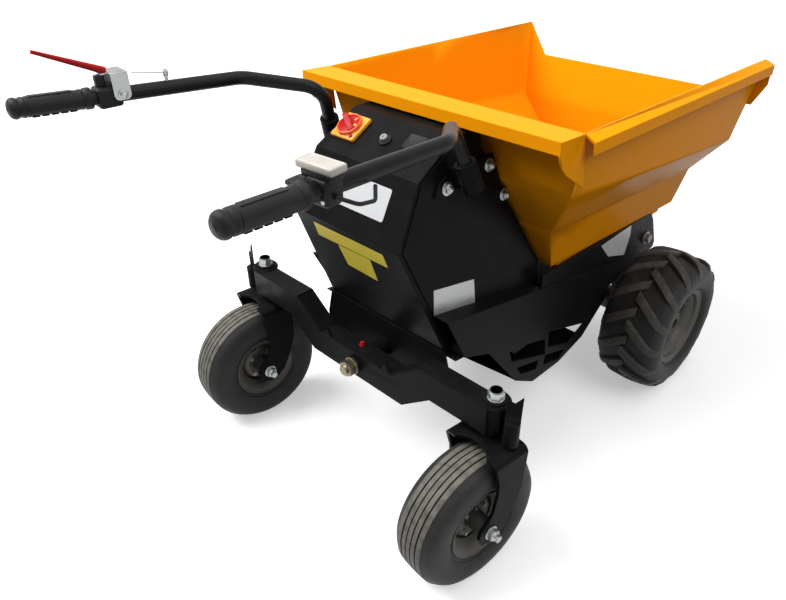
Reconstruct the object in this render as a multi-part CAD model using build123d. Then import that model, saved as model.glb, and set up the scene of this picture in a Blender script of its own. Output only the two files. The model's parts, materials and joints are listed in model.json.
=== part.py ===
"""Walk-behind electric mini dumper: tub on a sheet-metal chassis, two lugged
drive wheels in front and two swivel casters on a rocking gull-wing beam."""
import math
import os

from build123d import *

os.makedirs("parts", exist_ok=True)

# +X operator's right, +Y forward (tub end), +Z up, ground at z = 0.
# Lengths along Y are measured from the caster swivel axes; put() shifts every
# piece by ORIGIN_Y so that the exported origin is the centre of the plan.
ORIGIN_Y = -288.5

# fits
RUN_FIT = 0.08
SEAT_GAP = 0.3

# casters
SWIVEL_X = 379.0
CASTER_TRAIL = 64.0
CASTER_PARK_DEG = -6.0
CASTER_TYRE_D = 326.0
CASTER_TYRE_W = 114.0
CASTER_BEAD_D = 152.0
CASTER_RIM_W = 96.0
CASTER_AXLE_D = 16.0
CASTER_NUT_AF = 24.0
CASTER_HUB_D = 44.0
CASTER_HUB_L = 124.0
FORK_T = 8.0
FORK_SIDE_GAP = 8.0
FORK_TOP_GAP = 16.0
FORK_BEND_R = 16.0
STEM_D = 25.0
STEM_NUT_AF = 30.0
CASTER_RIM_FLANGE = 8.0
RIM_SHEET = 4.0

# rocking beam
BEAM_Y0 = -35.0
BEAM_Y1 = 15.0
BEAM_H = 66.6
COLLAR_H = 19.0
BEAM_DROP = 63.9
BEAM_BEND_IN = 121.0
BEAM_BEND_OUT = 204.0
BEAM_BEND_LOW = 31.0
BOSS_D = 60.0
BOSS_RISE = 4.4
PIVOT_DROP = 97.1
PIVOT_D = 24.0
PIVOT_SLEEVE_D = 40.0
PIVOT_SLEEVE_Y = -41.0
LOCK_TUBE_D = 32.0
LOCK_X = 50.0
LOCK_Y = -9.0

# drive wheels
DRIVE_X = 333.0
DRIVE_Y = 838.0
DRIVE_D = 404.0
DRIVE_W = 182.0
LUG_H = 14.0
LUG_T = 30.0
LUG_COUNT = 15
LUG_LEAD = 66.0
DRIVE_BEAD_D = 203.0
DRIVE_RIM_W = 150.0
DRIVE_RIM_FLANGE = 12.0
DRIVE_SHAFT_D = 30.0
DRIVE_HUB_D = 70.0

# housing: half width HOUSING_HALF at height HOUSING_Z0, leaning in by HOUSING_LEAN
HOUSING_HALF = 188.0
HOUSING_Z0 = 418.0
HOUSING_LEAN = 0.09
HOUSING_WALL = 3.0
COVER_T = 2.5
COVER_INSET = 9.0

# chassis
SKIRT_X = 220.0
SKIRT_T = 3.0
RAIL_T = 8.0
REAR_PLATE_Y = 62.0
REAR_PLATE_T = 8.0
REAR_PLATE_BELOW = 20.5
AXLE_TUBE_D = 70.0
GEARCASE_D = 170.0
MOTOR_D = 120.0
MOTOR_L = 135.0

# tub
TUB_T = 4.0
TUB_LIP_Z = 800.0
TUB_LIP_HALF = 287.0
FLANGE_REACH = 23.0
FLANGE_LIP = 25.0
REAR_FLANGE_Y = 158.0
TIP_Y = 920.0
TIP_Z = 387.0
TIP_PIN_D = 25.0
TIP_BOSS_D = 44.0
TUB_ARM_T = 8.0
TUB_ARM_GAP = 9.0

# handles
TUBE_D = 28.0
TUBE_BEND_R = 55.0
GRIP_D = 36.0
GRIP_L = 135.0
SOCKET_D = 42.0
SOCKET_L = 56.0
BRACKET_T = 5.0

# values that follow from the ones above
CASTER_AXLE_Z = CASTER_TYRE_D / 2
FORK_IN = CASTER_TYRE_W / 2 + FORK_SIDE_GAP
FORK_OUT = FORK_IN + FORK_T
FORK_TOP = CASTER_TYRE_D + FORK_TOP_GAP + FORK_T
BEAM_LOW = FORK_TOP + COLLAR_H
BEAM_TOP = BEAM_LOW + BEAM_H
PIVOT_Z = BEAM_TOP - PIVOT_DROP
BOSS_TOP = BEAM_TOP + BOSS_RISE
DRIVE_AXLE_Z = DRIVE_D / 2
RAIL_X1 = SKIRT_X - SKIRT_T
RAIL_X0 = RAIL_X1 - RAIL_T
ARM_X1 = RAIL_X0 - TUB_ARM_GAP

# tub levels: half width, y, z of the rear edge, then of the front edge
TUB_LEVELS = [
    (203.0, 439.0, 484.0, 221.0, 1042.0, 461.0),
    (236.0, 362.0, 616.0, 246.0, 1050.0, 569.0),
    (332.0, 264.0, 758.0, 336.0, 1046.0, 679.0),
    (360.0, 236.0, 908.0, 363.0, 1086.0, 887.0),
]

# right handle tube: x, y, z of socket foot, lower bend, upper bend and end
HANDLE_LINE = [(HOUSING_HALF + 18, 114.0, 798.0), (HOUSING_HALF - 7, 72.0, 923.0),
               (285.5, -56.6, 952.0), (321.7, -500.0, 979.6)]

# skirt outline and its four windows, (y, z)
SKIRT_LINE = [(36, 524), (98, 400), (187, 363), (311, 208), (392, 158), (512, 156),
              (626, 185), (722, 262), (753, 374)]
SKIRT_WINDOWS = [
    [(268, 330), (427, 279), (437, 225), (286, 283)],
    [(443, 294), (619, 233), (546, 203), (448, 242)],
    [(311, 250), (406, 222), (402, 195), (332, 218)],
    [(438, 221), (540, 186), (510, 168), (435, 190)],
]


# ------------------------------------------------------------------- helpers
def put(shape, name):
    """Shift to the export origin and write one node."""
    moved = Pos(0, ORIGIN_Y, 0) * shape
    moved.label = name
    export_step(moved, f"parts/{name}.step")


def put_pair(shape, name):
    """Write a right-hand piece and its mirrored left-hand copy."""
    put(shape, f"{name}_right")
    put(mirror(shape, Plane.YZ), f"{name}_left")


def block(x0, x1, y0, y1, z0, z1):
    """Box given by its six faces."""
    size = Box(x1 - x0, y1 - y0, z1 - z0)
    return Pos((x0 + x1) / 2, (y0 + y1) / 2, (z0 + z1) / 2) * size


def prism(profile, p, q):
    """Extrude a profile drawn about the origin from point p to point q."""
    a, b = Vector(p), Vector(q)
    return extrude(Plane(origin=a, z_dir=b - a) * profile, (b - a).length)


def rod(p, q, d):
    """Round bar of diameter d from p to q."""
    return prism(Circle(d / 2), p, q)


def hexagon(p, q, across):
    """Hexagonal bar from p to q, size given across its flats."""
    return prism(RegularPolygon(across / math.sqrt(3), 6), p, q)


def outline(points):
    """Face inside a closed run of straight lines."""
    return make_face(Polyline(*points, close=True))


def side_plate(points, x0, x1):
    """Plate with its outline given as (y, z) and its faces at x0 and x1."""
    return Pos(x0, 0, 0) * extrude(Plane.YZ * outline(points), x1 - x0)


def front_plate(points, y0, y1):
    """Plate with its outline given as (x, z) and its faces at y0 and y1."""
    return Pos(0, y1, 0) * extrude(Plane.XZ * outline(points), y1 - y0)


def turn_x(profile):
    """Turn a closed (x, radius) outline about the X axis."""
    return revolve(outline(profile), Axis.X, 360)


# -------------------------------------------------------------------- wheels
def lug_height(share, radius):
    """Height of a tread bar's top above the axle where the bar has swept back."""
    return math.sqrt(radius ** 2 - (LUG_LEAD * share) ** 2)


def drive_lug(side):
    """One slanted tread bar that trails from the crown down to the shoulder."""
    top = DRIVE_D / 2
    half = DRIVE_W / 2
    root = top - LUG_H
    across = LUG_T / 2
    plan = [(-0.07 * half, -across), (half, -LUG_LEAD - across), (half, across - LUG_LEAD),
            (-0.07 * half, across)]
    bar = extrude(outline([(side * x, y) for x, y in plan]), top)
    section = [(-0.1 * half, root - 12), (-0.1 * half, lug_height(across / LUG_LEAD, top)),
               (0.75 * half, lug_height(0.75, top - 4)), (0.98 * half, lug_height(0.98, root - 20)),
               (0.84 * half, lug_height(0.84, root - 34))]
    wedge = extrude(Plane.XZ * outline([(side * x, z) for x, z in section]), top, both=True)
    return bar & wedge


def drive_tyre():
    """Lugged tyre about X, centred on its own axle."""
    root = DRIVE_D / 2 - LUG_H
    half = DRIVE_W / 2
    bead = DRIVE_BEAD_D / 2
    seat = DRIVE_RIM_W / 2 - RIM_SHEET
    right = [(0.83 * half, root - 5), (0.97 * half, root - 28), (seat, bead + DRIVE_RIM_FLANGE),
             (seat, bead)]
    left = [(-x, r) for x, r in reversed(right)]
    body = turn_x(right + left)
    step = 360.0 / LUG_COUNT
    lugs = []
    for n in range(LUG_COUNT):
        lugs.append(Rot(n * step, 0, 0) * drive_lug(1))
        lugs.append(Rot((n + 0.5) * step, 0, 0) * drive_lug(-1))
    return body.fuse(*lugs)


def caster_tyre():
    """Plain balloon section that carries the ribbed tread."""
    r = CASTER_TYRE_D / 2
    half = CASTER_TYRE_W / 2
    bead = CASTER_BEAD_D / 2
    seat = CASTER_RIM_W / 2 - RIM_SHEET
    right = [(0.6 * half, r), (0.9 * half, r - 15), (half, r - 42),
             (seat, bead + CASTER_RIM_FLANGE), (seat, bead)]
    left = [(-x, radius) for x, radius in reversed(right)]
    return turn_x(right + left)


def wheel_rim(width, bead_d, lip, dish_x, hub_d, hub_l, bore_d):
    """Pressed rim with its dished disc and hub, about X."""
    half = width / 2
    t = RIM_SHEET
    bead = bead_d / 2
    flange = bead + lip
    well = bead - 18
    barrel = turn_x([
        (-half, bead - t), (-half, flange), (t - half, bead), (-0.5 * half, well),
        (0.5 * half, well), (half - t, bead), (half, flange), (half, bead - t),
        (0.45 * half, well - t), (-0.45 * half, well - t),
    ])
    crest = (hub_d / 2 + well) / 2
    disc = turn_x([
        (dish_x - t, hub_d / 2 - 3), (dish_x, crest), (dish_x - 16, well - 2),
        (dish_x - 16 + t, well - 2), (dish_x + t, crest), (dish_x, hub_d / 2 - 3),
    ])
    hub = rod((-hub_l / 2, 0, 0), (hub_l / 2, 0, 0), hub_d)
    bore = rod((-hub_l, 0, 0), (hub_l, 0, 0), bore_d)
    return barrel + disc + (hub - bore)


# ------------------------------------------------------------------- casters
def caster_pose(shape, side):
    """Place a caster piece modelled about the swivel axis, trail along -Y."""
    return Pos(side * SWIVEL_X, 0, 0) * Rot(0, 0, CASTER_PARK_DEG) * shape


def caster_fork():
    """Strip bent over the tyre, tapering to the axle, with its stem on top."""
    z = CASTER_AXLE_Z
    top = FORK_TOP
    trail = CASTER_TRAIL
    shell = outline([(-FORK_OUT, 0), (FORK_OUT, 0), (FORK_OUT, top), (-FORK_OUT, top)])
    shell = fillet(shell.vertices().group_by(Axis.Y)[-1], FORK_BEND_R)
    room = outline([(-FORK_IN, -9), (FORK_IN, -9), (FORK_IN, top - FORK_T),
                    (-FORK_IN, top - FORK_T)])
    room = fillet(room.vertices().group_by(Axis.Y)[-1], FORK_BEND_R - FORK_T)
    strip = extrude(Plane.XZ * (shell - room), 150, both=True)
    leg = side_plate([
        (28, top), (27, z + 154), (21, z + 80), (2, z + 27), (44 - trail, z - 11),
        (24 - trail, z - 27), (-trail, z - 33), (-22 - trail, z - 24),
        (-33 - trail, z), (-26 - trail, z + 20), (-8 - trail, z + 34),
        (4 - trail, z + 54), (14 - trail, z + 99), (14 - trail, z + 131), (-65, top),
    ], -FORK_OUT, FORK_OUT)
    relief = rod((0, -96, top - 2 * FORK_T), (0, -96, top + 1), 110)
    bent = (strip & leg) - relief
    bore = rod((-FORK_OUT - 1, -trail, z), (FORK_OUT + 1, -trail, z),
               CASTER_AXLE_D + 2 * RUN_FIT)
    stem = rod((0, 0, top - 2), (0, 0, BOSS_TOP + 24), STEM_D)
    collar = rod((0, 0, top - 2), (0, 0, BEAM_LOW - 1.0), STEM_D + 20)
    return (bent - bore) + stem + collar


def caster_axle():
    """Axle bolt with its head, nut and stud end."""
    z = CASTER_AXLE_Z
    y = -CASTER_TRAIL
    bolt = rod((-FORK_OUT - 10, y, z), (FORK_OUT + 24, y, z), CASTER_AXLE_D)
    head = hexagon((-FORK_OUT - 10, y, z), (-FORK_OUT, y, z), CASTER_NUT_AF)
    nut = hexagon((FORK_OUT, y, z), (FORK_OUT + 13, y, z), CASTER_NUT_AF)
    return bolt + head + nut


def stem_nut():
    """Washer and hexagon nut on top of the swivel stem."""
    low = BOSS_TOP + 1.0
    washer = rod((0, 0, low), (0, 0, low + 3), STEM_D * 2)
    nut = hexagon((0, 0, low + 3), (0, 0, low + 19), STEM_NUT_AF)
    bore = rod((0, 0, low - 1), (0, 0, low + 30), STEM_D)
    return washer + nut - bore


# ---------------------------------------------------------------------- beam
def beam():
    """Gull-wing box beam with swivel bosses and its centre sleeve."""
    low = BEAM_TOP - BEAM_DROP
    knee = BEAM_BEND_OUT + BEAM_BEND_LOW
    foot = BEAM_BEND_IN + BEAM_BEND_LOW
    right = [(BEAM_BEND_IN, low), (BEAM_BEND_OUT, BEAM_TOP), (SWIVEL_X + 6, BEAM_TOP),
             (SWIVEL_X + 6, BEAM_LOW), (knee, BEAM_LOW), (foot, low - BEAM_H)]
    left = [(-x, z) for x, z in reversed(right)]
    solid = front_plate(right + left, BEAM_Y0, BEAM_Y1)
    for x in (-SWIVEL_X, SWIVEL_X):
        boss = rod((x, 0, BEAM_LOW), (x, 0, BOSS_TOP), BOSS_D)
        solid += chamfer(boss.edges().group_by(Axis.Z)[0], 5)
    for x in (-SWIVEL_X, SWIVEL_X):
        solid -= rod((x, 0, BEAM_LOW - 5), (x, 0, BOSS_TOP + 5), STEM_D + 2 * RUN_FIT)
    solid += rod((0, PIVOT_SLEEVE_Y, PIVOT_Z), (0, BEAM_Y1 + 10, PIVOT_Z), PIVOT_SLEEVE_D)
    for x in (-1, 1):
        stop = [(x * (BEAM_BEND_IN - 33), low), (x * (BEAM_BEND_IN - 9), low),
                (x * (BEAM_BEND_IN - 23), low + 22)]
        solid += front_plate(stop, BEAM_Y0 + 2, BEAM_Y0 + 8)
    solid -= rod((0, PIVOT_SLEEVE_Y - 5, PIVOT_Z), (0, BEAM_Y1 + 20, PIVOT_Z),
                 PIVOT_D + 2 * RUN_FIT)
    return solid


def beam_pivot():
    """Pivot bolt of the beam with washer and nut."""
    seat = PIVOT_SLEEVE_Y - 0.5
    pin = rod((0, seat - 30, PIVOT_Z), (0, REAR_PLATE_Y, PIVOT_Z), PIVOT_D)
    washer = rod((0, seat - 5, PIVOT_Z), (0, seat, PIVOT_Z), PIVOT_SLEEVE_D + 4)
    nut = hexagon((0, seat - 23, PIVOT_Z), (0, seat - 5, PIVOT_Z), PIVOT_D * 1.5)
    return pin + washer + nut


def swivel_lock():
    """Spring latch beside the right boss: slotted tube and its finger plate."""
    x, y = SWIVEL_X + LOCK_X, LOCK_Y
    low = BEAM_LOW - 8
    case = rod((x, y, low), (x, y, BEAM_TOP - 17), LOCK_TUBE_D)
    slot = block(x - 1.75, x + 1.75, -30, 30, BEAM_TOP - 45, BEAM_TOP)
    web = block(SWIVEL_X + 5, x, -7, 7, BEAM_LOW + 6, BEAM_TOP - 22)
    room = rod((SWIVEL_X, 0, BEAM_LOW - 20), (SWIVEL_X, 0, BOSS_TOP), BOSS_D)
    tang = side_plate([(-15, BEAM_TOP - 45), (15, BEAM_TOP - 45), (17, BEAM_TOP + 42),
                       (2, BEAM_TOP + 28), (-15, BEAM_TOP + 38)], -1.75, 1.75)
    turned = Pos(x, y, 0) * Rot(0, 0, -45) * tang
    slot = Pos(x, y, 0) * Rot(0, 0, -45) * Pos(-x, 0, 0) * slot
    return (case - slot) + (web - room) + turned


# ------------------------------------------------------------------- chassis
def lean_prism(inset):
    """Everything between the housing's two leaning side planes, less inset."""
    z0, z1 = 300.0, 1000.0
    x0 = HOUSING_HALF - inset - (z0 - HOUSING_Z0) * HOUSING_LEAN
    x1 = HOUSING_HALF - inset - (z1 - HOUSING_Z0) * HOUSING_LEAN
    return front_plate([(-x0, z0), (x0, z0), (x1, z1), (-x1, z1)], -200, 600)


def side_sheet(points, low, high):
    """Sheet on the leaning right side, between two distances off the plane."""
    whole = side_plate(points, 0, 300)
    return (whole & lean_prism(-high)) - lean_prism(-low)


def housing_line(inset):
    """(y, z) outline of the housing, drawn in by inset."""
    i = inset
    return [(66 + i, HOUSING_Z0 + i), (-46 + 1.08 * i, 692), (19 + 0.9 * i, 819 - 0.6 * i),
            (128 + 0.5 * i, 880 - i), (205 - i, 880 - i), (205 - i, 841 - 0.3 * i),
            (256 - 1.1 * i, 752), (326 - 1.2 * i, 648), (418 - i, 501),
            (426 - i, HOUSING_Z0 + i)]


def body_shell():
    """Folded sheet housing with a sloping console on top."""
    outer = side_plate(housing_line(0), -300, 300) & lean_prism(COVER_T)
    inner = side_plate(housing_line(HOUSING_WALL), -300, 300)
    return outer - (inner & lean_prism(COVER_T + HOUSING_WALL))


def side_cover():
    """Flat cover screwed on the right side of the housing."""
    i = COVER_INSET
    line = [(41, 514), (-46 + i, 694), (19 + 0.8 * i, 819 - 0.4 * i), (132, 874),
            (197, 874), (199, 839), (248, 752), (318, 648), (410, 501), (418, 441)]
    return side_sheet(line, -COVER_T, 0)


def skirt():
    """Right skirt with its windows and the shelf that folds in to the housing."""
    wall = side_plate(SKIRT_LINE, RAIL_X1, SKIRT_X)
    for window in SKIRT_WINDOWS:
        wall -= side_plate(window, RAIL_X1 - 1, SKIRT_X + 1)
    (y0, z0), (y1, z1) = SKIRT_LINE[0], SKIRT_LINE[-1]
    slope = (z1 - z0) / (y1 - y0)
    shelf_end = 385.0 - SEAT_GAP
    z_end = z0 + (shelf_end - y0) * slope
    shelf = side_plate([(y0, z0), (shelf_end, z_end), (shelf_end, z_end - SKIRT_T),
                        (y0 + 2, z0 - SKIRT_T)], 100, SKIRT_X)
    shelf -= lean_prism(0)
    return wall + shelf


def pan_floor():
    """Folded floor between the skirts, under the battery bay."""
    t = SKIRT_T
    y_plate = REAR_PLATE_Y + REAR_PLATE_T
    low = [(y_plate, 404)] + SKIRT_LINE[1:7]
    high = [(y, z + t) for y, z in reversed(low)]
    return side_plate(low + high, -RAIL_X1, RAIL_X1)


def rear_plate():
    """Cross plate under the housing with the sleeve for the beam pivot."""
    y0, y1 = REAR_PLATE_Y, REAR_PLATE_Y + REAR_PLATE_T
    low = PIVOT_Z - REAR_PLATE_BELOW
    half = HOUSING_HALF
    right = [(half, HOUSING_Z0), (half + 18, low + 30), (half + 17, low + 12),
             (half + 9, low + 3), (half - 1, low)]
    left = [(-x, z) for x, z in reversed(right)]
    plate = front_plate(right + left, y0, y1)
    sleeve = rod((0, BEAM_Y1 + 11, PIVOT_Z), (0, y0 + 2, PIVOT_Z), PIVOT_SLEEVE_D + 12)
    pin = rod((0, BEAM_Y1, PIVOT_Z), (0, y0, PIVOT_Z), PIVOT_D)
    return plate + sleeve - pin


def floor_z(y):
    """Height of the tub's underside at y."""
    _, y0, z0, _, y1, z1 = TUB_LEVELS[0]
    return z0 + (y - y0) * (z1 - z0) / (y1 - y0)


def frame_rail():
    """Right side member from the housing to the tub hinge."""
    seat = 385.0
    y, z = TIP_Y, TIP_Z
    line = [
        (100, 404), (100, 428), (seat, 428), (seat, floor_z(seat) - SEAT_GAP),
        (y - 20, floor_z(y - 20) - SEAT_GAP), (y + 12, z + 70), (y + 30, z + 50),
        (y + 71, z - 40), (y + 65, z - 57), (y - 15, z - 65), (y - 160, z - 87),
        (300, 300), (200, 380),
    ]
    hole = rod((RAIL_X0 - 1, TIP_Y, TIP_Z), (RAIL_X1 + 1, TIP_Y, TIP_Z), TIP_PIN_D)
    return side_plate(line, RAIL_X0, RAIL_X1) - hole


def tip_pin():
    """Hinge pin across both side members."""
    end = SKIRT_X + 12
    return rod((-end, TIP_Y, TIP_Z), (end, TIP_Y, TIP_Z), TIP_PIN_D)


def drive_axle():
    """Axle tube with gearcase, hanger plates and the two shafts."""
    z = DRIVE_AXLE_Z
    y = DRIVE_Y
    tube = rod((-150, y, z), (150, y, z), AXLE_TUBE_D)
    case = rod((-40, y, z), (60, y, z), GEARCASE_D)
    hanger = [(y - 45, 345), (y + 45, 345), (y + 40, z - 30), (y + 20, z - 45),
              (y - 20, z - 45), (y - 40, z - 30)]
    solid = tube + case
    solid += side_plate(hanger, RAIL_X0 - 10, RAIL_X0)
    solid += side_plate(hanger, -RAIL_X0, 10 - RAIL_X0)
    solid += rod((-RAIL_X0, y, z), (RAIL_X0, y, z), AXLE_TUBE_D)
    reach = DRIVE_X + 40
    return solid + rod((-reach, y, z), (reach, y, z), DRIVE_SHAFT_D)


def drive_motor():
    """Motor flanged to the rear of the gearcase."""
    z = DRIVE_AXLE_Z + 45
    y = DRIVE_Y - GEARCASE_D / 2 + 18
    can = rod((10, y, z), (10, y - MOTOR_L, z), MOTOR_D)
    can = chamfer(can.edges().group_by(Axis.Y)[0], 6)
    case = rod((-45, DRIVE_Y, DRIVE_AXLE_Z), (65, DRIVE_Y, DRIVE_AXLE_Z), GEARCASE_D)
    return can - case


def battery():
    """Battery block standing on the housing's floor."""
    z = HOUSING_Z0 + HOUSING_WALL
    return block(-150, 150, 130, 285, z, z + 180)


# ----------------------------------------------------------------------- tub
def tub_level(row, inset):
    """Closed four-sided wire of one level, drawn in by inset."""
    x0, y0, z0, x1, y1, z1 = row
    i = inset
    return Polyline((x0 - i, y0 + i, z0), (x1 - i, y1 - i, z1), (i - x1, y1 - i, z1),
                    (i - x0, y0 + i, z0), close=True)


def tub_block(inset):
    """Stack of straight-sided levels, raised by inset at the floor."""
    faces = []
    for n, row in enumerate(TUB_LEVELS):
        wire = tub_level(row, inset * 1.05)
        rise = inset if n == 0 else 0.0
        faces.append(make_face(Pos(0, 0, rise) * wire))
    body = loft(faces, ruled=True)
    if inset:
        top = faces[-1]
        body += extrude(top, 8, dir=(0, 0, 1))
    return body


def rim_section(end):
    """Side flange and its down-turned lip, in the plane of one end."""
    row = TUB_LEVELS[-1]
    x, y, z = row[:3] if end == 0 else row[3:]
    out = x + FLANGE_REACH
    low = z - 0.45 * FLANGE_REACH
    t = TUB_T * 0.75
    pts = [(x - TUB_T, z), (x, z), (out, low), (out, low - FLANGE_LIP),
           (out - t, low - FLANGE_LIP), (out - t, low - t - 1), (x - TUB_T, z - TUB_T)]
    return make_face(Polyline(*[(px, y, pz) for px, pz in pts], close=True))


def rear_ear(side):
    """End plate of the rear flange, in line with the side wall."""
    x0, y0, z0 = TUB_LEVELS[-1][:3]
    y = REAR_FLANGE_Y
    line = [(y0 + 6, z0), (y, z0 + 5), (y, z0 - 22), (y + 13, z0 - 49), (y + 29, z0 - 66),
            (y0 + 18, z0 - 110)]
    a, b = sorted((side * (x0 - TUB_T), side * x0))
    return side_plate(line, a, b)


def hopper():
    """Open tub of folded sheet: walls, rim flanges and pouring lip."""
    tub = tub_block(0) - tub_block(TUB_T)
    x0, y0, z0, x1, y1, z1 = TUB_LEVELS[-1]
    lip_run = z1 + 3 - TUB_LIP_Z
    slope = (x1 - TUB_LIP_HALF) / lip_run
    far = TUB_LIP_HALF + 160 * slope
    notch = front_plate([(-TUB_LIP_HALF, TUB_LIP_Z), (TUB_LIP_HALF, TUB_LIP_Z),
                         (far, TUB_LIP_Z + 160), (-far, TUB_LIP_Z + 160)], y1 - 70, y1 + 50)
    tub -= notch
    side = loft([rim_section(0), rim_section(1)], ruled=True)
    tub += side + mirror(side, Plane.YZ)
    t = TUB_T * 0.75
    flange = side_plate([(y0 + TUB_T, z0), (REAR_FLANGE_Y, z0 + 5),
                         (REAR_FLANGE_Y, z0 - 21), (REAR_FLANGE_Y + t, z0 - 21),
                         (REAR_FLANGE_Y + t, z0 + 5 - t), (y0 + TUB_T, z0 - TUB_T)], -x0, x0)
    tub += flange + rear_ear(1) + rear_ear(-1)
    wing = [(x1 - 2, z1 - 8), (x1 + FLANGE_REACH - t, z1 - 12), (x1 + 20, z1 - 60),
            (x1 - 8, z1 - 117), (x1 - 22, z1 - 117)]
    for sign in (-1, 1):
        tub += front_plate([(sign * x, z) for x, z in wing], y1 - 6, y1 - 3)
    return tub


def tub_arm():
    """Right hinge arm under the tub floor."""
    y0, y1 = 470.0, 1010.0
    depth = 28.0
    boss = TIP_BOSS_D / 2
    strip = side_plate([(y0, floor_z(y0)), (y1, floor_z(y1)), (y1, floor_z(y1) - depth),
                        (y0, floor_z(y0) - depth)], ARM_X1 - TUB_ARM_T, ARM_X1)
    lug = side_plate([(TIP_Y - 75, floor_z(TIP_Y) - depth / 2),
                      (TIP_Y + 75, floor_z(TIP_Y) - depth / 2),
                      (TIP_Y + boss, TIP_Z), (TIP_Y - boss, TIP_Z)],
                     ARM_X1 - TUB_ARM_T, ARM_X1)
    eye = rod((ARM_X1 - 30, TIP_Y, TIP_Z), (RAIL_X0 - 0.5, TIP_Y, TIP_Z), TIP_BOSS_D)
    hole = rod((ARM_X1 - 40, TIP_Y, TIP_Z), (RAIL_X0, TIP_Y, TIP_Z),
               TIP_PIN_D + 2 * RUN_FIT)
    return strip + lug + eye - hole


# ------------------------------------------------------------------- handles
def line_point(n, distance):
    """Point on the handle's straight run n, at a distance from its end."""
    a, b = Vector(*HANDLE_LINE[n]), Vector(*HANDLE_LINE[n - 1])
    return a + (b - a).normalized() * distance


def handle_tube():
    """Bent steering tube of the right side."""
    path = FilletPolyline(*HANDLE_LINE, radius=TUBE_BEND_R)
    start = Plane(origin=path @ 0, z_dir=path % 0)
    return sweep(start * Circle(TUBE_D / 2), path)


def grip():
    """Moulded grip with a domed end, a groove and a collar."""
    r = GRIP_D / 2
    core = TUBE_D / 2
    half = make_face(Polyline(
        (0, -8), (0.8 * r, -5), (r + 1, 4), (r - 1, 14), (r + 2, GRIP_L), (core, GRIP_L),
        (core, 0), (0, 0), close=True))
    end = Vector(*HANDLE_LINE[3])
    run = Vector(*HANDLE_LINE[2]) - end
    upright = revolve(half, Axis.Y, 360)
    return Plane(origin=end, z_dir=run) * Rot(90, 0, 0) * upright


def handle_bracket():
    """Three-bolt plate on the side cover with the socket of the tube."""
    line = [(54, 778), (67, 804), (124, 827), (236, 820), (262, 745), (281, 722),
            (283, 710), (262, 703), (161, 752)]
    plate = side_sheet(line, 0, BRACKET_T)
    foot, bend = Vector(*HANDLE_LINE[0]), Vector(*HANDLE_LINE[1])
    run = (bend - foot).normalized()
    socket = rod(foot - run * 6, foot + run * SOCKET_L, SOCKET_D)
    bore = rod(foot, foot + run * (SOCKET_L + 10), TUBE_D)
    inboard = Vector(-1, 0, -HOUSING_LEAN).normalized()
    reach = 60.0
    web_line = Polyline(foot + run * 2, foot + run * 48, foot + run * 34 + inboard * reach,
                        foot - run * 14 + inboard * reach, close=True)
    web = extrude(make_face(web_line), 6, dir=tuple(run.cross(inboard)), both=True)
    web -= lean_prism(-0.5 * BRACKET_T)
    return plate + ((socket + web) - bore)


def soft_box(x, y, z, axis, radius):
    """Box about the origin with the four edges along one axis rounded."""
    body = Box(x, y, z)
    return fillet(body.edges().filter_by(axis), radius)


def throttle_box():
    """Thumb control clamped on the right tube, with a lidded head."""
    c = line_point(3, 171)
    yaw = Pos(c.X, c.Y, c.Z) * Rot(0, 0, 4.7)
    clamp = yaw * Pos(0, 0, -2) * soft_box(42, 34, 40, Axis.Y, 8)
    head = yaw * Pos(-3, 0, 20) * Box(56, 28, 12)
    lid = yaw * Pos(-4, 0, 31) * Box(68, 32, 12)
    paddle = yaw * Pos(-32, -16, 6) * Box(26, 30, 8)
    arm = yaw * Pos(-22, -8, 4) * Box(14, 20, 16)
    bore = rod(line_point(3, 0), line_point(3, 300), TUBE_D)
    return clamp + head + lid + ((paddle + arm) - bore) - bore


def throttle_cable():
    """Cable looping from the throttle box back to the right tube."""
    route = [(332, -330, 962), (349, -307, 950), (343, -272, 942), (320, -250, 950)]
    path = FilletPolyline(*route, radius=[16, 16])
    start = Plane(origin=path @ 0, z_dir=path % 0)
    return sweep(start * Circle(3), path)


def lever_perch():
    """Lever mount of the left tube, modelled on the right."""
    c = line_point(3, 165)
    yaw = Pos(c.X, c.Y, c.Z) * Rot(0, 0, 4.7)
    clamp = yaw * soft_box(40, 46, 38, Axis.Y, 8)
    post = yaw * Pos(0, -8, 28) * Box(16, 18, 22)
    saddle = yaw * Pos(0, 22, 12) * Box(46, 32, 62)
    room = yaw * Pos(0, 22, 9) * Box(40, 34, 62)
    bore = rod(line_point(3, 0), line_point(3, 300), TUBE_D)
    return clamp + post + (saddle - room) - bore


def brake_lever():
    """Tapered lever blade rising rearward over the grip."""
    foot, tip = (305, -332, 1015), (305, -448, 1068)
    a = Plane(origin=Vector(*foot), z_dir=Vector(*tip) - Vector(*foot))
    b = Plane(origin=Vector(*tip), z_dir=Vector(*tip) - Vector(*foot))
    return loft([a * Ellipse(7, 7), b * Ellipse(3.2, 3.2)])


# ------------------------------------------------------------------- console
def console_pose(x, y):
    """Frame lying on the sloping console at plan position x, y."""
    slope = (880 - 819) / (128 - 19)
    z = 819 + (y - 19) * slope
    return Pos(x, y, z) * Rot(math.degrees(math.atan(slope)), 0, 0)


def isolator_switch():
    """Battery isolator: square plate with a round turn handle."""
    spot = console_pose(-98, 77)
    plate = spot * Pos(0, 0, 5) * soft_box(68, 66, 10, Axis.Z, 4)
    dish = spot * Pos(0, 0, 14) * Cylinder(28, 8)
    ridge = spot * Pos(0, 0, 24) * Rot(0, 0, 35) * Box(50, 12, 14)
    return plate + dish + ridge


def key_switch():
    """Key barrel with its bezel."""
    spot = console_pose(4, 76)
    return spot * Pos(0, 0, 3) * Cylinder(14, 6) + spot * Pos(0, 0, 9) * Cylinder(9, 8)


def display_unit():
    """Charge display in a small case."""
    spot = console_pose(84, 84)
    return spot * Pos(0, 0, 7) * soft_box(46, 38, 14, Axis.Z, 3)


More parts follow.
